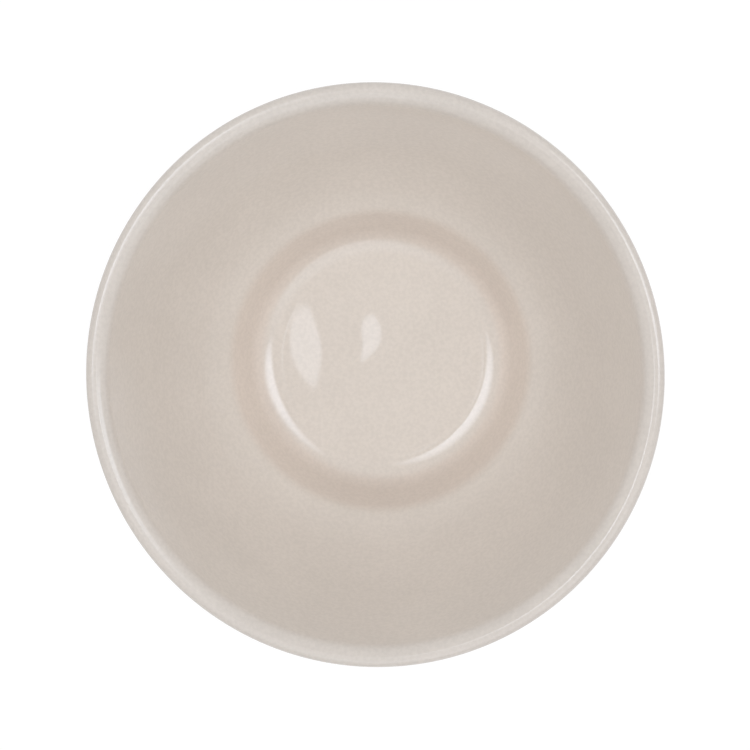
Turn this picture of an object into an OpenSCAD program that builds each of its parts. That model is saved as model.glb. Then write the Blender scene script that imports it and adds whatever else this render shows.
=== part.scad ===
// Footed latte bowl in glazed stoneware.
// The clay is one turned section: an even wall that drops into a well inside the stem.
// A foot ring is stuck under the stem with slip, and three coats of glaze cover the clay.
// The axis is Z, the table is Z = 0, and all sizes are in millimetres and degrees.

/* [Bowl] */
// Finished diameter across the lip
rim_d = 150; // [120:1:185]
// Finished height from the table to the top of the lip
bowl_h = 80; // [66:1:100]
// Thickness of the clay wall
wall_t = 3.7; // [2.8:0.1:5]
// Thickness of the clay under the floor
base_t = 4; // [3:0.1:6]
// Slope of the wall where it runs into the lip, from level
wall_lean = 77; // [68:1:84]

/* [Lip] */
// Rounding from the wall up to the crown of the lip
lip_inner_r = 3.8; // [2.4:0.1:4.5]
// Rounding from the crown of the lip to its outer edge
lip_outer_r = 1.6; // [1.4:0.1:2.8]
// How far the lip turns under, past its outer edge
lip_undercut = 32; // [15:1:45]

/* [Well] */
// Diameter of the flat floor
floor_d = 55; // [42:1:68]
// Width of the rounding between the floor and the side of the well
well_round_w = 9.7; // [8:0.1:12]
// Height of that rounding
well_round_h = 5; // [4:0.1:6]
// Slope of the side of the well, from level
well_slope = 63; // [55:1:80]
// Length of the straight part of the well's side
well_side_l = 7.4; // [3:0.1:10]
// Slope of the wall where it leaves the well's shoulder, from level
shoulder_slope = 35; // [20:1:45]

/* [Foot] */
// Height of the underside above the table
foot_h = 5.4; // [4.5:0.1:8]
// Hollow rounding outside, where the wall meets the stem
neck_r = 5; // [3:0.1:8]
// Diameter of the seam between the stem and the foot ring
seam_d = 81; // [70:1:96]
// Diameter of the foot ring at the table
foot_d = 83; // [72:1:98]
// Outward lean of the foot ring's side at its lower edge
foot_flare = 10; // [0:1:20]
// Rounding of the foot ring's two lower edges
foot_edge_r = 1.4; // [0.8:0.1:1.8]
// Width of the flat that stands on the table
foot_land_w = 3.6; // [2:0.1:6]
// Lean of the foot ring's inner side, from upright
foot_draft = 8; // [2:1:15]
// Thickness of the slip that sticks the foot ring on
slip_t = 0.4; // [0.3:0.1:0.8]

/* [Glaze] */
// Thickness of the glaze
glaze_t = 0.35; // [0.25:0.05:0.6]
// Rounding of the glaze that pools in the corner under the base
glaze_pool_r = 1.6; // [0.8:0.1:2.4]

/* [Hidden] */
$fn = 180;

// Steps along each curve of the section
arc_steps = 10;
well_steps = 12;
wall_steps = 28;
blend_steps = 8;

// Reach of a blend's two handles, as shares of the straight line between its ends
well_handle_shares = [0.3, 0.49];
wall_handle_shares = [0.2, 0.46];
throat_handle_shares = [0.3, 0.34];
stem_handle_shares = [0.34, 0.34];
ring_handle_shares = [0.34, 0.34];
// Height on the wall, as a share of its curve, where the throat under the lip begins
throat_share = 0.9;

clay_colour = "#d8c9b4";
slip_colour = "#cbb99f";
glaze_colour = "#cfc4b8";

// The clay stops one coat of glaze short of the finished rim and height
clay_rim_r = rim_d / 2 - glaze_t;
clay_top = bowl_h - glaze_t;
floor_z = foot_h + base_t;
// An even wall: the shoulder inside and the neck outside share one centre
shoulder_r = neck_r + wall_t;
ring_top = foot_h - slip_t;

// A station is a place on the section and the way the outline runs there: [radius, height, heading].
// The outline runs from the floor over the lip to the foot, with the clay always on its right.
function station(place, heading) = [place.x, place.y, heading];
function place(s) = [s.x, s.y];
function heading(s) = s[2];
function along(angle) = [cos(angle), sin(angle)];
function outward(angle) = [-sin(angle), cos(angle)];
function first(path) = path[0];
function last(path) = path[len(path) - 1];

// One path from a chain of paths, each of which starts where the one before it ends
function joined(paths) =
    [for (i = [0:len(paths) - 1]) for (j = [i == 0 ? 0 : 1:len(paths[i]) - 1]) paths[i][j]];

// An arc that passes through a station: headings that grow make a hollow, and headings that fall a round.
function arc(through, from, to, radius) =
    let (side = sign(to - from) * radius, centre = place(through) + side * outward(heading(through)))
    [for (i = [0:arc_steps])
        let (angle = from + (to - from) * i / arc_steps)
        station(centre - side * outward(angle), angle)];

// A straight run on from a station
function straight(from, length) =
    [from, station(place(from) + length * along(heading(from)), heading(from))];

// A smooth cubic from one station to another, tangent to both
function blend(from, to, handle_shares, steps) =
    let (
        chord = norm(place(to) - place(from)),
        a = place(from),
        b = a + chord * handle_shares[0] * along(heading(from)),
        d = place(to),
        c = d - chord * handle_shares[1] * along(heading(to))
    )
    [for (i = [0:steps])
        let (
            t = i / steps,
            u = 1 - t,
            spot = u^3 * a + 3 * u^2 * t * b + 3 * u * t^2 * c + t^3 * d,
            way = u^2 * (b - a) + 2 * u * t * (c - b) + t^2 * (d - c)
        )
        station(spot, atan2(way.y, way.x))];

// The far face of a wall, run back the other way
function far_face(path, thickness) =
    [for (i = [len(path) - 1:-1:0])
        station(place(path[i]) - thickness * outward(heading(path[i])), heading(path[i]) - 180)];

// Outline points of a path, bare or under a coat
function bare(path) = [for (s = path) place(s)];
function coated(path, coat) = [for (s = path) place(s) + coat * outward(heading(s))];
function reversed(points) = [for (i = [len(points) - 1:-1:0]) points[i]];

// Inside of the bowl, from the middle of the floor to the crown of the lip
floor_edge = [floor_d / 2, floor_z, 0];
floor_line = [[0, floor_z, 0], floor_edge];
well_foot = station(place(floor_edge) + [well_round_w, well_round_h], well_slope);
well_round = blend(floor_edge, well_foot, well_handle_shares, well_steps);
well_side = straight(well_foot, well_side_l);
shoulder = arc(last(well_side), well_slope, shoulder_slope, shoulder_r);
crown = [clay_rim_r - lip_outer_r, clay_top, 0];
lip_inside = arc(crown, wall_lean, 0, lip_inner_r);
wall_inside = blend(last(shoulder), first(lip_inside), wall_handle_shares, wall_steps);
inside = joined([floor_line, well_round, well_side, shoulder, wall_inside, lip_inside]);

// Outside of the bowl, from the crown of the lip to the seam above the foot ring
throat_step = round(throat_share * wall_steps);
lip_over = arc(crown, 0, -90, lip_outer_r);
lip_under = arc(last(lip_over), -90, -90 - lip_undercut, lip_outer_r);
wall_outside = far_face([for (i = [0:throat_step]) wall_inside[i]], wall_t);
throat = blend(last(lip_under), first(wall_outside), throat_handle_shares, blend_steps);
neck = far_face(shoulder, wall_t);
seam = [seam_d / 2, foot_h, -90];
stem = blend(last(neck), seam, stem_handle_shares, blend_steps);
outside = joined([lip_over, lip_under, throat, wall_outside, neck, stem]);

// Foot ring, from the seam round its standing face to the top of its inner side
ring_seam = [seam_d / 2, ring_top, -90];
land_outer = [foot_d / 2 - foot_edge_r, 0, -180];
land_inner = [foot_d / 2 - foot_edge_r - foot_land_w, 0, -180];
outer_edge = arc(land_outer, foot_flare - 90, -180, foot_edge_r);
inner_edge = arc(land_inner, -180, foot_draft - 270, foot_edge_r);
ring_outside = blend(ring_seam, first(outer_edge), ring_handle_shares, blend_steps);
ring_inside = straight(last(inner_edge), (ring_top - last(inner_edge).y) / cos(foot_draft));
ring_bore_r = last(ring_inside).x;
ring_outline = joined([ring_outside, outer_edge, [land_outer, land_inner], inner_edge, ring_inside]);

// Glaze under the base: up the ring, round a pooled corner and along the underside to the middle
base_glaze_z = foot_h - glaze_t;
pool_start_z = base_glaze_z - glaze_pool_r * (1 - sin(foot_draft));
pool_foot = place(first(ring_inside)) + glaze_t * outward(heading(first(ring_inside)));
pool_start = [pool_foot.x - (pool_start_z - pool_foot.y) * tan(foot_draft), pool_start_z, foot_draft - 270];
pool = arc(pool_start, foot_draft - 270, -180, glaze_pool_r);

// Room to the brim, as a stack of cone slices under the finished inside
mm3_per_ml = 1000;
brim = coated(inside, glaze_t);
brimful_ml = PI / 3 / mm3_per_ml * sum_of([for (i = [1:len(brim) - 1])
    let (low = brim[i - 1], high = brim[i])
    (high.y - low.y) * (low.x^2 + low.x * high.x + high.x^2)]);
function sum_of(list, i = 0) = i < len(list) ? list[i] + sum_of(list, i + 1) : 0;
echo(brimful_ml = brimful_ml, well_depth = last(shoulder).y - floor_z, foot_bore_d = 2 * ring_bore_r);

module turned(colour, outline) {
    color(colour)
        rotate_extrude()
            polygon(outline);
}

// Fired clay of the bowl: floor, well, wall, lip and stem, with a flat underside
module bowl_body() {
    turned(clay_colour, concat(bare(joined([inside, outside])), [[0, foot_h]]));
}

// Thin ring of slip between the stem and the foot ring
module luting_slip() {
    turned(slip_colour, [
        [ring_bore_r, ring_top],
        [seam_d / 2, ring_top],
        [seam_d / 2, foot_h],
        [ring_bore_r, foot_h]
    ]);
}

// Stuck-on ring that the bowl stands on, bare where it meets the table
module foot_ring() {
    turned(clay_colour, bare(ring_outline));
}

// Coat poured inside, from the floor to the crown of the lip
module inner_glaze() {
    turned(glaze_colour, concat(coated(inside, glaze_t), reversed(bare(inside))));
}

// Coat over the outside, from the crown of the lip to the foot ring's rounded edge
module outer_glaze() {
    coat_path = joined([outside, [seam, ring_seam], ring_outside]);
    turned(glaze_colour, concat(coated(coat_path, glaze_t), reversed(bare(coat_path))));
}

// Coat under the base, inside the foot ring
module base_glaze() {
    air_side = concat([pool_foot], bare(pool), [[0, base_glaze_z]]);
    clay_side = [[0, foot_h], [ring_bore_r, foot_h], place(last(ring_inside)), place(first(ring_inside))];
    turned(glaze_colour, concat(air_side, clay_side));
}

bowl_body();
luting_slip();
foot_ring();
inner_glaze();
outer_glaze();
base_glaze();
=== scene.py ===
# %% [markdown]
# # A footed latte bowl
# The bowl is one shape of fired clay under a milky beige glaze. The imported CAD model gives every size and
# place in metres. This lesson draws the coats of glaze and the bare foot as smooth meshes, gives each a
# procedural finish, and sets up a plain studio in which the bowl is seen almost straight from above.

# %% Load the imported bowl
import math

import bmesh
import bpy
from mathutils import Matrix, Vector
from mathutils.geometry import interpolate_bezier


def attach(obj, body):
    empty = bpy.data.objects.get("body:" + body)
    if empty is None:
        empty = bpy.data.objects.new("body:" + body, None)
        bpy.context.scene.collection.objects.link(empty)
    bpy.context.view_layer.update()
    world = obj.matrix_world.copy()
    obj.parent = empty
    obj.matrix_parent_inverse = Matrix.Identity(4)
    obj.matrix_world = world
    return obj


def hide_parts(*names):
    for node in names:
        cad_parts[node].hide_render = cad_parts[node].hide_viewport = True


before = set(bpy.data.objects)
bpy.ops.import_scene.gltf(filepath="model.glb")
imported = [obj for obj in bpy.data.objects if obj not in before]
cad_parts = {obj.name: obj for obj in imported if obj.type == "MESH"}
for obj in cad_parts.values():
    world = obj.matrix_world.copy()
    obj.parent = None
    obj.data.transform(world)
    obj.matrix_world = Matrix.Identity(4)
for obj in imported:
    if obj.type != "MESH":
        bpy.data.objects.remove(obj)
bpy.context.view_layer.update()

MM = 0.001

# %% [markdown]
# ## The section of a turned piece
# A potter's turned piece is known by its section. Every CAD node here is a solid of revolution, cut into
# triangles. Its section could be typed in again as numbers, but then the two models could drift apart.
# Instead each corner of the node is turned about the axis into one half-plane. The corners of one ring fall
# together there, and merging them leaves the section itself: a chain of points.

# %% Read a node's section
WELD = 0.01 * MM
AXIS_GAP = 1 * MM


def section_of(node):
    """Points (radius, height) along the section of a turned CAD node, from an end or the lowest one on."""
    flat = bmesh.new()
    flat.from_mesh(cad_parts[node].data)
    for corner in flat.verts:
        corner.co = (math.hypot(corner.co.x, corner.co.y), 0, corner.co.z)
    bmesh.ops.remove_doubles(flat, verts=flat.verts, dist=WELD)
    off_axis = [corner for corner in flat.verts if corner.co.x > AXIS_GAP]
    links = {corner: [] for corner in off_axis}
    for edge in flat.edges:
        a, b = edge.verts
        if a in links and b in links:
            links[a].append(b)
            links[b].append(a)
    ends = [corner for corner in off_axis if len(links[corner]) == 1]
    chain = [ends[0] if ends else min(off_axis, key=lambda corner: corner.co.z)]
    while len(chain) < len(off_axis):
        chain.append(next(corner for corner in links[chain[-1]] if corner not in chain))
    points = [Vector((corner.co.x, corner.co.z)) for corner in chain]
    flat.free()
    print(node, "section:", len(points), "points,", "open at the axis" if ends else "closed")
    return points


body_section = section_of("bowl_body")
inner_section = section_of("inner_glaze")
outer_section = section_of("outer_glaze")
base_section = section_of("base_glaze")
foot_section = section_of("foot_ring")

# %% [markdown]
# ## Rings that the smoothing needs
# A section from CAD has points only where it bends, so its flat floor has no ring at all between its edge
# and the axis. A few rings there keep the smoothing even. Melted glaze settles level on the floor, so its
# flat may spill a little over the edge of the clay's. At the crown of the lip the inner and the outer coat
# meet edge to edge. The glaze lies level there too and bends down quickly beside it, which gives the lip its
# two thin lines of light. A ring beside the crown, at the crown's own height, marks how far the level part
# reaches, and the rings of the section that lie inside its reach are left out.

# %% Add rings to a section
FLOOR_SHARES = (0.12, 0.36, 0.6, 0.82, 0.95, 0.998)
FLOOR_SPILL = 0.5 * MM
INNER_LEVEL = 1.0 * MM
OUTER_LEVEL = 0.22 * MM


def flat_rings(end, spill):
    """Rings on the flat between the axis and one end of a section, with that end moved out."""
    return [Vector(((end.x + spill) * share, end.y)) for share in (*FLOOR_SHARES, 1)]


def with_floor_rings(chain, spill=0):
    """An open section with more rings on the flats at both of its ends."""
    return flat_rings(chain[0], spill) + chain[1:-1] + flat_rings(chain[-1], spill)[::-1]


def with_level_crown(chain, reach):
    """A section whose highest point has a level stretch beside it, on the side open to the air."""
    top = max(range(len(chain)), key=lambda i: chain[i].y)
    peak = chain[top]
    before, after = chain[:top], chain[top + 1:]
    if abs(after[0].x - peak.x) > abs(before[-1].x - peak.x):
        before, after = after[::-1], before[::-1]
    level_end = Vector((peak.x + math.copysign(reach, before[-1].x - peak.x), peak.y))
    while abs(before[-1].x - peak.x) < reach:
        before.pop()
    return before + [level_end, peak] + after


crown = max(inner_section, key=lambda point: point.y)
rim_r = max(point.x for point in outer_section)
print("crown of the lip, mm:", [round(c / MM, 2) for c in crown], "rim radius, mm:", round(rim_r / MM, 2))

# %% [markdown]
# ## Raising a piece from one circle
# On the wheel a bowl grows out of one ring of clay that is drawn up and opened out. The mesh grows the same
# way: a circle is extruded to the next height and resized to the next radius, ring after ring, until it has
# gone round the whole section. Spinning a drawn outline would give the same shape. Extruding keeps the
# rings in order and leaves no doubled seam to merge. A fired rim is never a perfect circle: the kiln pulls
# it a little oval, more towards the lip, and the rings are resized to follow that.

# %% Draw a piece up along its section
SIDES = 96
OVAL_SHARE = 0.0072
OVAL_FROM_SHARE = 0.275
OVAL_LEAN = math.radians(10)
oval_from_z = OVAL_FROM_SHARE * crown.y


def oval_share(z):
    """How far a ring at one height is pulled oval, as a share of its radius."""
    return OVAL_SHARE * max(0, (z - oval_from_z) / (crown.y - oval_from_z))


def ring_axes(point):
    """Half widths of the oval ring that stands for one section point."""
    pull = oval_share(point.y)
    return Vector((point.x * (1 - pull), point.x * (1 + pull)))


def raised(name, chain, closed):
    """A turned piece made from one circle, extruded and resized along a section."""
    bpy.ops.object.select_all(action="DESELECT")
    bpy.ops.mesh.primitive_circle_add(vertices=SIDES, radius=1)
    piece = bpy.context.object
    piece.name = name
    piece.data.name = name
    bpy.ops.object.mode_set(mode="EDIT")
    first = ring_axes(chain[0])
    bpy.ops.transform.translate(value=(0, 0, chain[0].y))
    bpy.ops.transform.resize(value=(first.x, first.y, 1), center_override=(0, 0, chain[0].y))
    for here, ahead in zip(chain, chain[1:]):
        bpy.ops.mesh.extrude_region_move(TRANSFORM_OT_translate={"value": (0, 0, ahead.y - here.y)})
        old, new = ring_axes(here), ring_axes(ahead)
        bpy.ops.transform.resize(value=(new.x / old.x, new.y / old.y, 1), center_override=(0, 0, ahead.y))
    bpy.ops.mesh.select_all(action="DESELECT")
    bpy.ops.mesh.select_non_manifold()
    if closed:
        bpy.ops.mesh.bridge_edge_loops()
    else:
        bpy.ops.mesh.fill_holes(sides=SIDES)
        bpy.ops.mesh.select_all(action="DESELECT")
        bpy.ops.mesh.select_face_by_sides(number=SIDES, type="EQUAL")
        bpy.ops.mesh.poke()
    bpy.ops.mesh.select_all(action="SELECT")
    bpy.ops.mesh.normals_make_consistent(inside=False)
    bpy.ops.object.mode_set(mode="OBJECT")
    print(name, "raised from", len(chain), "rings:", len(piece.data.polygons), "faces")
    return piece


# %% [markdown]
# ## Smoothing without losing the edges
# Fired glaze has no corners except where a coat ends against another. Those ends get a crease, and one
# level of subdivision rounds everything else. The angle limit keeps the creased ends crisp in the shading.

# %% Crease the ends of a coat and smooth it
SHARP_ANGLE = math.radians(50)
NEAR_RING = 2 * WELD


def crease_ring(piece, point):
    """Marks the ring through one section point to stay sharp under subdivision."""
    bpy.ops.object.mode_set(mode="EDIT")
    bpy.ops.mesh.select_all(action="DESELECT")
    bpy.ops.object.mode_set(mode="OBJECT")
    axes = ring_axes(point)
    for vertex in piece.data.vertices:
        off_ring = math.hypot(vertex.co.x / axes.x, vertex.co.y / axes.y) - 1
        off = math.hypot(off_ring * point.x, vertex.co.z - point.y)
        vertex.select = off < NEAR_RING
    bpy.ops.object.mode_set(mode="EDIT")
    bpy.ops.transform.edge_crease(value=1)
    bpy.ops.object.mode_set(mode="OBJECT")


def apply_modifier(piece, kind, **settings):
    """Adds one modifier with its settings and applies it."""
    bpy.ops.object.select_all(action="DESELECT")
    piece.select_set(True)
    bpy.context.view_layer.objects.active = piece
    modifier = piece.modifiers.new(kind.lower(), kind)
    for setting, value in settings.items():
        setattr(modifier, setting, value)
    bpy.ops.object.modifier_apply(modifier=modifier.name)


def smooth(piece):
    """One applied level of subdivision, the turn to the oval's lean, and smooth shading."""
    apply_modifier(piece, "SUBSURF", levels=1, render_levels=1)
    bpy.ops.object.mode_set(mode="EDIT")
    bpy.ops.mesh.select_all(action="SELECT")
    bpy.ops.transform.rotate(value=-OVAL_LEAN, orient_axis="Z", center_override=(0, 0, 0))
    bpy.ops.object.mode_set(mode="OBJECT")
    bpy.ops.object.shade_smooth_by_angle(angle=SHARP_ANGLE)
    print(piece.name, "smoothed:", len(piece.data.polygons), "faces")


# %% [markdown]
# ## The clay of the bowl
# Under the glaze is one turned shape of clay: floor, well, wall, lip and stem. No part of it shows, and its
# CAD node could stay as it is, but that is round and would poke through the oval coats near the lip. So
# the clay is raised the same way as they are and takes the same pull of the kiln.

# %% Clay body
clay_body = raised("clay_body", with_floor_rings(body_section), closed=False)
smooth(clay_body)
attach(clay_body, "root")
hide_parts("bowl_body")

# %% [markdown]
# ## The coat inside
# The inside of the bowl is glazed by pouring: the potter fills it, swirls and empties it. The coat follows
# the clay from the floor over the well's side and the shoulder to the crown of the lip. The clay's surface
# could be copied and thickened for it, but the coat's own CAD section already has the right thickness.

# %% Coat inside
inner_rings = with_floor_rings(with_level_crown(inner_section, INNER_LEVEL), FLOOR_SPILL)
inner_coat = raised("inner_coat", inner_rings, closed=False)
for point in inner_section:
    if abs(point.x - crown.x) < WELD:
        crease_ring(inner_coat, point)
smooth(inner_coat)
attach(inner_coat, "root")
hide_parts("inner_glaze")

# %% [markdown]
# ## The coat outside
# The outside is dipped. Its coat runs from the crown over the rolled lip, under the lip's throat, down the
# wall into the neck and over the foot ring. The glaze is wiped off the foot before firing, so the coat ends
# in a soft bead just above the table, and no wiped line is ever quite straight. A cloud texture moves the
# lowest rings a little up and down. Points could be pulled by hand too, but the texture takes one line.

# %% Coat outside
GLAZE_LINE_REACH = 2.6 * MM
GLAZE_LINE_SWING = 0.7 * MM
GLAZE_LINE_FULL = 0.5
GLAZE_LINE_WAVE = 11 * MM
LIP_JOIN_DEPTH = 1 * MM


def wavy_line(piece, lowest, reach, swing):
    """Moves the rings near a coat's lower end up and down by a cloud texture, less further up."""
    group = piece.vertex_groups.new(name="glaze_line")
    for vertex in piece.data.vertices:
        share = 1 - (vertex.co.z - lowest) / reach
        if share > 0:
            group.add([vertex.index], min(share / GLAZE_LINE_FULL, 1), "REPLACE")
    clouds = bpy.data.textures.new("glaze_line_clouds", "CLOUDS")
    clouds.noise_scale = GLAZE_LINE_WAVE
    apply_modifier(
        piece, "DISPLACE", texture=clouds, texture_coords="LOCAL", direction="Z",
        vertex_group=group.name, strength=swing,
    )


outer_coat = raised("outer_coat", with_level_crown(outer_section, OUTER_LEVEL), closed=True)
for point in outer_section:
    if abs(point.x - crown.x) < WELD and point.y > crown.y - LIP_JOIN_DEPTH:
        crease_ring(outer_coat, point)
outer_end = min(point.y for point in outer_section)
smooth(outer_coat)
wavy_line(outer_coat, outer_end, GLAZE_LINE_REACH, GLAZE_LINE_SWING)
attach(outer_coat, "root")
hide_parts("outer_glaze")

# %% [markdown]
# ## The coat under the base
# The hollow inside the foot ring is glazed too, and the glaze gathers in its corner. The coat is one more
# raised piece, from the middle of the underside out to the ring's inner side. A plain disc would be
# quicker, and would leave that rounded corner out.

# %% Coat under the base
base_coat = raised("base_coat", with_floor_rings(base_section), closed=False)
smooth(base_coat)
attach(base_coat, "root")
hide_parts("base_glaze")

# %% [markdown]
# ## The bare foot
# The foot ring is stuck on with slip and stands unglazed on the table. Only a narrow band of its clay shows
# below the glaze line. The CAD ring has the right shape, and raising it again only makes it smooth.

# %% Bare foot ring
bare_foot = raised("bare_foot", foot_section, closed=True)
smooth(bare_foot)
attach(bare_foot, "root")
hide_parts("foot_ring")

# %% [markdown]
# ## A short way to write a material
# A material is a small graph of nodes. One helper adds a node, sets its plain values, and joins the
# sockets given as links, so each line of a recipe below reads as one step. The helpers after it are the
# steps that come back often. Each finish is a node group, built once, which puts out a colour, a roughness
# and a surface height. It could be written into each material instead, but two clays here share one.

# %% Node helper


def step(tree, kind, links=(), values=(), **settings):
    """Adds one node to a tree, sets its values and joins its inputs."""
    node = tree.nodes.new(kind)
    for setting, value in settings.items():
        setattr(node, setting, value)
    for socket, value in dict(values).items():
        node.inputs[socket].default_value = value
    for socket, source in dict(links).items():
        tree.links.new(source, node.inputs[socket])
    return node


# %% Sums, ranges and mixes


def worked_out(tree, operation, *terms):
    """The result of one sum; each term is a socket or a plain number."""
    node = step(tree, "ShaderNodeMath", operation=operation)
    for socket, term in zip(node.inputs, terms):
        if isinstance(term, bpy.types.NodeSocket):
            tree.links.new(term, socket)
        else:
            socket.default_value = term
    return node.outputs[0]


def graded(tree, source, low, high, to_low, to_high):
    """A value carried smoothly from one range to another, and held at both ends."""
    node = step(
        tree, "ShaderNodeMapRange", {0: source}, {1: low, 2: high, 3: to_low, 4: to_high},
        interpolation_type="SMOOTHSTEP",
    )
    return node.outputs[0]


def blended(tree, share, under, over):
    """Two colours mixed by a mask; each colour is a socket or a plain colour."""
    node = step(tree, "ShaderNodeMix", {0: share}, data_type="RGBA")
    for socket, colour in ((6, under), (7, over)):
        if isinstance(colour, bpy.types.NodeSocket):
            tree.links.new(colour, node.inputs[socket])
        else:
            node.inputs[socket].default_value = (*colour, 1)
    return node.outputs[2]


# %% Clouds and a point's place


def clouded(tree, place, scale, detail):
    """Cloudy values between 0 and 1."""
    return step(tree, "ShaderNodeTexNoise", {"Vector": place}, {"Scale": scale, "Detail": detail}).outputs[0]


def place_on_bowl(tree):
    """A point's place, the three parts of it, and its distance from the bowl's axis."""
    place = step(tree, "ShaderNodeTexCoord").outputs["Object"]
    parts = step(tree, "ShaderNodeSeparateXYZ", {0: place}).outputs
    flat = step(tree, "ShaderNodeCombineXYZ", {0: parts[0], 1: parts[1]}).outputs[0]
    radius = step(tree, "ShaderNodeVectorMath", {0: flat}, operation="LENGTH").outputs["Value"]
    return place, parts, radius


# %% Finishes as groups and as materials
FINISH_OUTPUTS = {"Colour": "NodeSocketColor", "Roughness": "NodeSocketFloat", "Height": "NodeSocketFloat"}


def new_group(name, tints=()):
    """An empty node group that takes some tints and puts out what a finish needs."""
    tree = bpy.data.node_groups.new(name, "ShaderNodeTree")
    for tint in tints:
        tree.interface.new_socket(tint, in_out="INPUT", socket_type="NodeSocketColor")
    for output, kind in FINISH_OUTPUTS.items():
        tree.interface.new_socket(output, in_out="OUTPUT", socket_type=kind)
    return tree


def new_material(name):
    """An empty material with its output and one Principled shader."""
    material = bpy.data.materials.new(name)
    material.use_nodes = True
    tree = material.node_tree
    tree.nodes.clear()
    shader = step(tree, "ShaderNodeBsdfPrincipled")
    step(tree, "ShaderNodeOutputMaterial", {"Surface": shader.outputs[0]})
    return material, tree, shader


def finished(name, group, relief, tints=()):
    """A material with the finish of one group, its relief as strength and depth, and its own tints."""
    material, tree, shader = new_material(name)
    finish = step(tree, "ShaderNodeGroup", node_tree=group)
    for tint, colour in dict(tints).items():
        finish.inputs[tint].default_value = (*colour, 1)
    relief_values = {"Strength": relief[0], "Distance": relief[1]}
    bump = step(tree, "ShaderNodeBump", {"Height": finish.outputs["Height"]}, relief_values).outputs[0]
    tree.links.new(finish.outputs["Colour"], shader.inputs["Base Color"])
    tree.links.new(finish.outputs["Roughness"], shader.inputs["Roughness"])
    tree.links.new(bump, shader.inputs["Normal"])
    return material


# %% [markdown]
# ## Milky beige glaze
# The glaze is an opaque beige with a clear, glassy surface. Over the lip its tint is darker, which is
# painted shade that holds back the light the lamps throw on the up-facing lip, and its gloss is duller
# there. A ring round the well and the stem is darker and a little warmer, which is painted shade where the
# well's steep side and the stem lie in shade. In the photograph that ring is paler at its two sides than
# these lamps make it, so its tint is painted paler there too: painted light. The masks are worked out from
# the height, the distance from the axis and the side. Faint clouds and a fine grain keep the colour from
# being one flat tint. Painted vertex colours would do the same, but would depend on the mesh.

# %% Glaze colour group
GLAZE_TINT = (0.72, 0.664, 0.611)
# The lip's darker tint is painted shade on the up-facing lip.
LIP_SHADE_TINT = (0.645, 0.595, 0.551)
# Painted shade: a darker, warmer ring round the well and the stem.
WELL_SHADE_TINT = (0.71, 0.636, 0.577)
# Painted light: the shaded ring is paler at its two sides.
WELL_SIDE_LIGHT_TINT = (0.772, 0.691, 0.627)
LIP_FADE = (4.2 * MM, 0.6 * MM)
WELL_SHADE_MIDDLE_SHARE = 0.4947
WELL_SHADE_CORE = 2.5 * MM
WELL_SHADE_REACH = 5.4 * MM
NOISE_RANGE = (0.3, 0.7)
CLOUD_SCALE = 45
CLOUD_DETAIL = 3
CLOUD_SWING = (0.985, 1.015)
GRAIN_SCALE = 1000
GRAIN_DETAIL = 2
GRAIN_SWING = (0.97, 1.03)
GLOSS_SWING = (0.01, 0.02)
LIP_DULLNESS = 0.12


def glaze_group():
    """The glaze's colour, roughness and surface height, from a point's place on the bowl."""
    tree = new_group("milky_glaze")
    place, parts, radius = place_on_bowl(tree)
    clouds = clouded(tree, place, CLOUD_SCALE, CLOUD_DETAIL)
    grain = clouded(tree, place, GRAIN_SCALE, GRAIN_DETAIL)
    # The lip's band, which takes the painted shade and the duller gloss.
    lip = graded(tree, parts[2], crown.y - LIP_FADE[0], crown.y - LIP_FADE[1], 0, 1)
    # A ring of painted shade round the well and the stem.
    off_well_shade = worked_out(tree, "SUBTRACT", radius, WELL_SHADE_MIDDLE_SHARE * rim_r)
    from_well_shade = worked_out(tree, "ABSOLUTE", off_well_shade)
    well_shade = graded(tree, from_well_shade, WELL_SHADE_CORE, WELL_SHADE_REACH, 1, 0)
    # Painted light: the ring is paler towards its two sides.
    aside = worked_out(tree, "DIVIDE", parts[0], radius)
    side_light_share = worked_out(tree, "MULTIPLY", aside, aside)
    well_shade_sided = blended(tree, side_light_share, WELL_SHADE_TINT, WELL_SIDE_LIGHT_TINT)
    beige = blended(tree, well_shade, GLAZE_TINT, well_shade_sided)
    # Painted shade on the lip.
    lip_shaded = blended(tree, lip, beige, LIP_SHADE_TINT)
    mottle = graded(tree, clouds, *NOISE_RANGE, *CLOUD_SWING)
    fine = graded(tree, grain, *NOISE_RANGE, *GRAIN_SWING)
    both = worked_out(tree, "MULTIPLY", mottle, fine)
    colour = step(tree, "ShaderNodeVectorMath", {0: lip_shaded, "Scale": both}, operation="SCALE").outputs[0]
    gloss = graded(tree, clouds, *NOISE_RANGE, *GLOSS_SWING)
    dulled = worked_out(tree, "MULTIPLY_ADD", lip, LIP_DULLNESS, gloss)
    step(tree, "NodeGroupOutput", {"Colour": colour, "Roughness": dulled, "Height": clouds})
    print(tree.name, "group:", len(tree.nodes), "nodes")
    return tree


# %% [markdown]
# ## Glaze material
# The group's colour and roughness feed one Principled shader. Its surface height makes the slight orange
# peel of a fired glaze, which only shows where a highlight breaks over it.

# %% Glaze on the three coats
PEEL_RELIEF = (0.02, 0.15 * MM)
glaze = finished("milky_beige_glaze", glaze_group(), PEEL_RELIEF)
for coat in (inner_coat, outer_coat, base_coat):
    coat.data.materials.append(glaze)
print("glaze on", [coat.name for coat in (inner_coat, outer_coat, base_coat)])

# %% [markdown]
# ## Fired clay
# The unglazed foot is dry buff stoneware. A turning tool has left fine rings in it and dragged out the
# sand, so the grain is fine across the rings and the tint is uneven. The hidden clay of the bowl gets the
# same finish. The slip keeps the shape of its CAD node, with a slightly darker clay. Both clays are one
# group with tints of their own, because a second recipe would only repeat the first.

# %% Clay group
TINT_SWING = (0.2, 0.8)
RING_SCALE = 2600
RING_DETAIL = 1
SAND_SCALE = 900
SAND_DETAIL = 4
DRYNESS_SWING = (0.75, 0.92)


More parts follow.
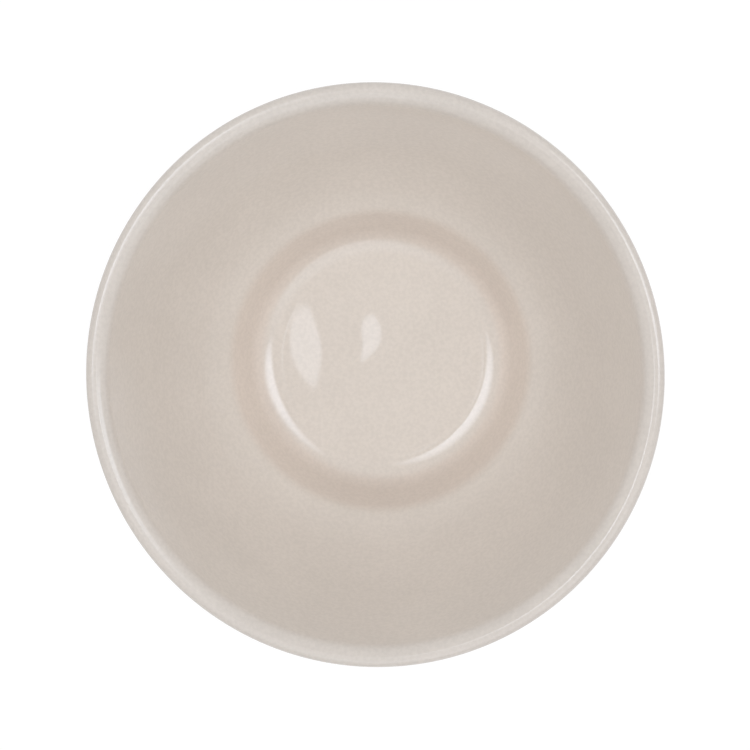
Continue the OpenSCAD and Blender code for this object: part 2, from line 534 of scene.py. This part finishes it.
def clay_group():
    """Dry fired clay with uneven tint, sand and turning rings, between a dark and a pale tint."""
    tree = new_group("turned_clay", ("Dark", "Pale"))
    tints = step(tree, "NodeGroupInput").outputs
    place, parts, radius = place_on_bowl(tree)
    turned = step(tree, "ShaderNodeCombineXYZ", {0: radius, 2: parts[2]}).outputs[0]
    rings = clouded(tree, turned, RING_SCALE, RING_DETAIL)
    sand = clouded(tree, place, SAND_SCALE, SAND_DETAIL)
    patches = clouded(tree, place, CLOUD_SCALE, CLOUD_DETAIL)
    uneven = graded(tree, patches, *NOISE_RANGE, *TINT_SWING)
    colour = blended(tree, uneven, tints["Dark"], tints["Pale"])
    dryness = graded(tree, sand, *NOISE_RANGE, *DRYNESS_SWING)
    relief = worked_out(tree, "ADD", rings, sand)
    step(tree, "NodeGroupOutput", {"Colour": colour, "Roughness": dryness, "Height": relief})
    print(tree.name, "group:", len(tree.nodes), "nodes")
    return tree


# %% Clay on the foot, the body and the slip
CLAY_RELIEF = (0.5, 0.15 * MM)
CLAY_TINTS = {"Dark": (0.50, 0.41, 0.30), "Pale": (0.66, 0.57, 0.45)}
SLIP_TINTS = {"Dark": (0.46, 0.38, 0.28), "Pale": (0.58, 0.49, 0.37)}
turned_clay = clay_group()
clay = finished("fired_clay", turned_clay, CLAY_RELIEF, CLAY_TINTS)
slip = finished("fired_slip", turned_clay, CLAY_RELIEF, SLIP_TINTS)
for piece in (bare_foot, clay_body):
    piece.data.materials.append(clay)
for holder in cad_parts["luting_slip"].material_slots:
    holder.material = slip
print("clay on", bare_foot.name, "and", clay_body.name, "with slip between them")

# %% [markdown]
# ## The camera
# The photograph looks down into the bowl, a few degrees off the axis: the well sits above the middle of the
# rim. The camera stands three quarters of a metre over the rim and is aimed close to the rim's centre. The
# lens is worked out so that the rim covers the same share of the picture as in the photograph.

# %% Camera
PHOTO_SIDE_PX = 750
RIM_PX = 291.6
CAMERA_AWAY = 0.75
LOOK_FROM = Vector((0.0282, 0.0763, 1)).normalized()
AIM_OFF = Vector((0.1 * MM, 0.47 * MM, 0))
rim_z = max(outer_section, key=lambda point: point.x).y
rim_centre = Vector((0, 0, rim_z))
aim = rim_centre + AIM_OFF
eye = aim + LOOK_FROM * CAMERA_AWAY
picture_side = PHOTO_SIDE_PX * rim_r / RIM_PX
right = Vector((0, 1, 0)).cross(LOOK_FROM).normalized()
up = LOOK_FROM.cross(right)
bpy.ops.object.camera_add()
camera = bpy.context.object
camera.name = "photo_camera"
camera.data.lens = camera.data.sensor_width * CAMERA_AWAY / picture_side
turn = Matrix((right, up, LOOK_FROM)).transposed()
camera.matrix_world = Matrix.LocRotScale(eye, turn, None)
bpy.context.scene.camera = camera
print("lens, mm:", round(camera.data.lens, 1), "picture side at the rim, mm:", round(picture_side / MM, 1))

# %% [markdown]
# ## Soft boxes
# Two soft boxes stand left and right of the bowl, behind its middle, and a weaker one fills in from the
# front. They light the colour of the glaze. What the glaze mirrors of them is made with cards further down,
# so the lamps are hidden from mirrored rays, and the light can be set without changing the shine.

# %% Soft boxes
BOX_AWAY = 1.1
# Name, azimuth and tilt in degrees, size in metres, radiance.
SOFT_BOXES = (
    ("left_light", 161, 24, (0.8, 0.2), 3.5),
    ("right_light", 15, 24, (0.8, 0.2), 4.65),
    ("front_light", 282, 18, (0.7, 0.7), 1.05),
)


def way_to(azimuth, tilt):
    """The direction that is turned from +X by one angle and tilted from upright by another."""
    around = math.radians(azimuth)
    off = math.radians(tilt)
    return Vector((math.cos(around) * math.sin(off), math.sin(around) * math.sin(off), math.cos(off)))


def soft_box(name, azimuth, tilt, size, radiance):
    """An oval lamp that looks at the rim from one side and gives off an even radiance."""
    way = way_to(azimuth, tilt)
    bpy.ops.object.light_add(type="AREA", location=rim_centre + way * BOX_AWAY)
    lamp = bpy.context.object
    lamp.name = name
    lamp.data.shape = "ELLIPSE"
    lamp.data.size, lamp.data.size_y = size
    oval_area = math.pi / 4 * size[0] * size[1]
    lamp.data.energy = radiance * math.pi * oval_area
    lamp.rotation_mode = "QUATERNION"
    lamp.rotation_quaternion = (-way).to_track_quat("-Z", "Y")
    lamp.visible_camera = False
    lamp.visible_glossy = False
    print(name, "at mm", [round(c / MM) for c in lamp.location], "power, W:", round(lamp.data.energy, 2))


for box in SOFT_BOXES:
    soft_box(*box)

# %% [markdown]
# ## A glowing card
# A soft box is brightest in the middle of its cloth, so its mirror image on a glaze has soft edges. A lamp
# can't fade towards its edge, but a mesh can: an attribute holds the glow of each corner, full in the
# middle and nothing at the outline. The glow is added to whatever lies behind the card, and only mirrored
# rays see it.

# %% Glowing card helper
CARD_WHITE = (0.8, 0.88, 1, 1)
card_glow = bpy.data.materials.new("card_glow")
card_glow.use_nodes = True
card_tree = card_glow.node_tree
card_tree.nodes.clear()
strength = step(card_tree, "ShaderNodeAttribute", attribute_name="glow").outputs["Fac"]
light = step(card_tree, "ShaderNodeEmission", {"Strength": strength}, {"Color": CARD_WHITE}).outputs[0]
clear = step(card_tree, "ShaderNodeBsdfTransparent").outputs[0]
added = step(card_tree, "ShaderNodeAddShader", {0: light, 1: clear}).outputs[0]
step(card_tree, "ShaderNodeOutputMaterial", {"Surface": added})


def glow_card(name, core, outline, level):
    """A card that glows evenly inside its core and fades out from there to its outline."""
    count = len(outline)
    middle = sum(core, Vector()) / count
    faces = []
    for i in range(count):
        after = (i + 1) % count
        faces.append((0, 1 + i, 1 + after))
        faces.append((1 + i, 1 + count + i, 1 + count + after, 1 + after))
    mesh = bpy.data.meshes.new(name)
    mesh.from_pydata([middle, *core, *outline], [], faces)
    glow = mesh.attributes.new("glow", "FLOAT", "POINT")
    glow.data.foreach_set("value", [level] * (1 + count) + [0] * count)
    card = bpy.data.objects.new(name, mesh)
    bpy.context.collection.objects.link(card)
    card.data.materials.append(card_glow)
    card.visible_camera = False
    card.visible_diffuse = False
    card.visible_shadow = False
    print(name, "size in mm:", [round(side / MM) for side in card.dimensions], "glow", level)


# %% [markdown]
# ## The shine of the soft boxes
# On the real glaze the soft boxes mirror as pale lines along the lip and as two crescents where the floor
# turns up into the well's side. A wide, dim card in front gives the faint pale band along the far edge of
# the floor. Each card lies level over the bowl and has two ovals, a bright core and an outline. Each oval is
# given by its middle and its half sizes, as degrees across and back from upright, seen from the floor.

# %% Cards for the shine
SHINE_AWAY = 2.2
OVAL_POINTS = 48
# Name, glow, then middle and half sizes of the core and of the outline in degrees.
SHINES = (
    ("left_shine", 5.5, (-11.6, 0.5, 6.0, 3.2), (-17.8, 6.1, 15.5, 14.5)),
    ("right_shine", 5.35, (24.3, 3.2, 7.5, 7.5), (29.8, 8.7, 22, 20)),
    ("front_shine", 1.0, (14, -35, 22, 17), (9, -33, 36, 28)),
)
floor_r = min(point.x for point in inner_section)
floor_z = max(point.y for point in inner_section if abs(point.x - floor_r) < WELD)


def oval_overhead(across, back, half_across, half_back):
    """Outline of a level oval over the bowl, from the angles at which the floor sees it."""
    outline = []
    for i in range(OVAL_POINTS):
        turn = 2 * math.pi * i / OVAL_POINTS
        lean_across = math.radians(across + half_across * math.cos(turn))
        lean_back = math.radians(back + half_back * math.sin(turn))
        way = Vector((math.tan(lean_across), math.tan(lean_back), 1))
        outline.append(Vector((0, 0, floor_z)) + way * SHINE_AWAY)
    return outline


for name, level, core, outline in SHINES:
    glow_card(name, oval_overhead(*core), oval_overhead(*outline), level)

# %% [markdown]
# ## Two bright patches in the floor
# The flat floor of the bowl is a small mirror. It shows two bright leaf-shaped patches, the images of
# something bright overhead. Each is one more glowing card, high above the camera. Its outline is a smooth
# curve through a few points of the patch in the photograph. Every point of it is followed along the line
# of sight, mirrored at the floor and carried up to the card's height.

# %% Cards that mirror in the floor
CARD_HEIGHT = 4
CURVE_STEPS = 6
HANDLE_SHARE = 1 / 6
LEFT_PATCH_PX = ((306, 302), (314, 315), (323.5, 352), (315, 392), (295, 369), (288.5, 342), (293, 312))
RIGHT_PATCH_PX = ((371, 313), (380, 322), (382.5, 338), (376, 352), (360, 364), (361.5, 345), (361, 322))
# Name, corners in the photograph, glow, share of the width that fades out.
PATCHES = (
    ("left_patch", LEFT_PATCH_PX, 2.7, 0.2),
    ("right_patch", RIGHT_PATCH_PX, 3.0, 0.18),
)


def rounded(corners):
    """A smooth closed outline that passes each corner in parallel with the line between its neighbours."""
    outline = []
    for i, corner in enumerate(corners):
        here = Vector(corner)
        before, ahead, beyond = (Vector(corners[(i + k) % len(corners)]) for k in (-1, 1, 2))
        leave = here + (ahead - before) * HANDLE_SHARE
        arrive = ahead - (beyond - here) * HANDLE_SHARE
        outline += interpolate_bezier(here, leave, arrive, ahead, CURVE_STEPS + 1)[:-1]
    return outline


def mirrored_place(spot_px):
    """Where a point at the cards' height stands to mirror in the floor at a spot of the photograph."""
    across = (spot_px.x - PHOTO_SIDE_PX / 2) * picture_side / PHOTO_SIDE_PX
    upward = (PHOTO_SIDE_PX / 2 - spot_px.y) * picture_side / PHOTO_SIDE_PX
    sight = aim + right * across + up * upward - eye
    spot = eye + sight * ((floor_z - eye.z) / sight.z)
    back = Vector((sight.x, sight.y, -sight.z))
    return spot + back * ((CARD_HEIGHT - floor_z) / back.z)


for name, corners, level, soft_share in PATCHES:
    outline = [mirrored_place(spot) for spot in rounded(corners)]
    middle = sum(outline, Vector()) / len(outline)
    core = [spot.lerp(middle, soft_share) for spot in outline]
    glow_card(name, core, outline, level)

# %% [markdown]
# ## White surroundings
# The studio is white all round. The camera and every mirrored ray see it at full white, while the light it
# sheds on the bowl is turned down, so that the pale glaze does not wash out. The floor is a pale card that
# gives off white in the same way and still takes a faint shadow.

# %% World and floor
SURROUND_LIGHT = 0.70
FLOOR_SIDE = 4
FLOOR_CARD = (0.85, 0.85, 0.85, 1)
FLOOR_WHITE_SHARE = 0.88
FLOOR_GLOW = 1.05
FLOOR_ROUGHNESS = 0.9


def shown_rays(tree):
    """1 for the rays that show the studio, straight, mirrored or through glass, and 0 for its light."""
    rays = step(tree, "ShaderNodeLightPath").outputs
    shown = rays["Is Camera Ray"]
    for kind in ("Is Glossy Ray", "Is Transmission Ray"):
        shown = worked_out(tree, "MAXIMUM", shown, rays[kind])
    return shown


world = bpy.data.worlds.new("white_studio")
bpy.context.scene.world = world
world.use_nodes = True
sky_tree = world.node_tree
sky_tree.nodes.clear()
shown = shown_rays(sky_tree)
sky_level = step(sky_tree, "ShaderNodeMapRange", {0: shown}, {3: SURROUND_LIGHT, 4: 1}).outputs[0]
sky = step(sky_tree, "ShaderNodeBackground", {"Strength": sky_level}, {"Color": (1, 1, 1, 1)}).outputs[0]
step(sky_tree, "ShaderNodeOutputWorld", {"Surface": sky})

bpy.ops.object.select_all(action="DESELECT")
bpy.ops.mesh.primitive_plane_add(size=FLOOR_SIDE)
floor = bpy.context.object
floor.name = "studio_floor"
white_card, floor_tree, floor_shader = new_material("white_card")
floor_shader.inputs["Base Color"].default_value = FLOOR_CARD
floor_shader.inputs["Roughness"].default_value = FLOOR_ROUGHNESS
white = step(floor_tree, "ShaderNodeEmission", (), {"Strength": FLOOR_GLOW}).outputs[0]
white_share = worked_out(floor_tree, "MULTIPLY", shown_rays(floor_tree), FLOOR_WHITE_SHARE)
mixed_from = {0: white_share, 1: floor_shader.outputs[0], 2: white}
mixed = step(floor_tree, "ShaderNodeMixShader", mixed_from).outputs[0]
floor_out = next(node for node in floor_tree.nodes if node.type == "OUTPUT_MATERIAL")
floor_tree.links.new(mixed, floor_out.inputs["Surface"])
floor.data.materials.append(white_card)
print("surroundings shed", SURROUND_LIGHT, "of white, floor side in m:", FLOOR_SIDE)

# %% [markdown]
# ## Plain colour
# The standard view transform shows each colour as it was written.

# %% Finish
bpy.context.scene.view_settings.view_transform = "Standard"
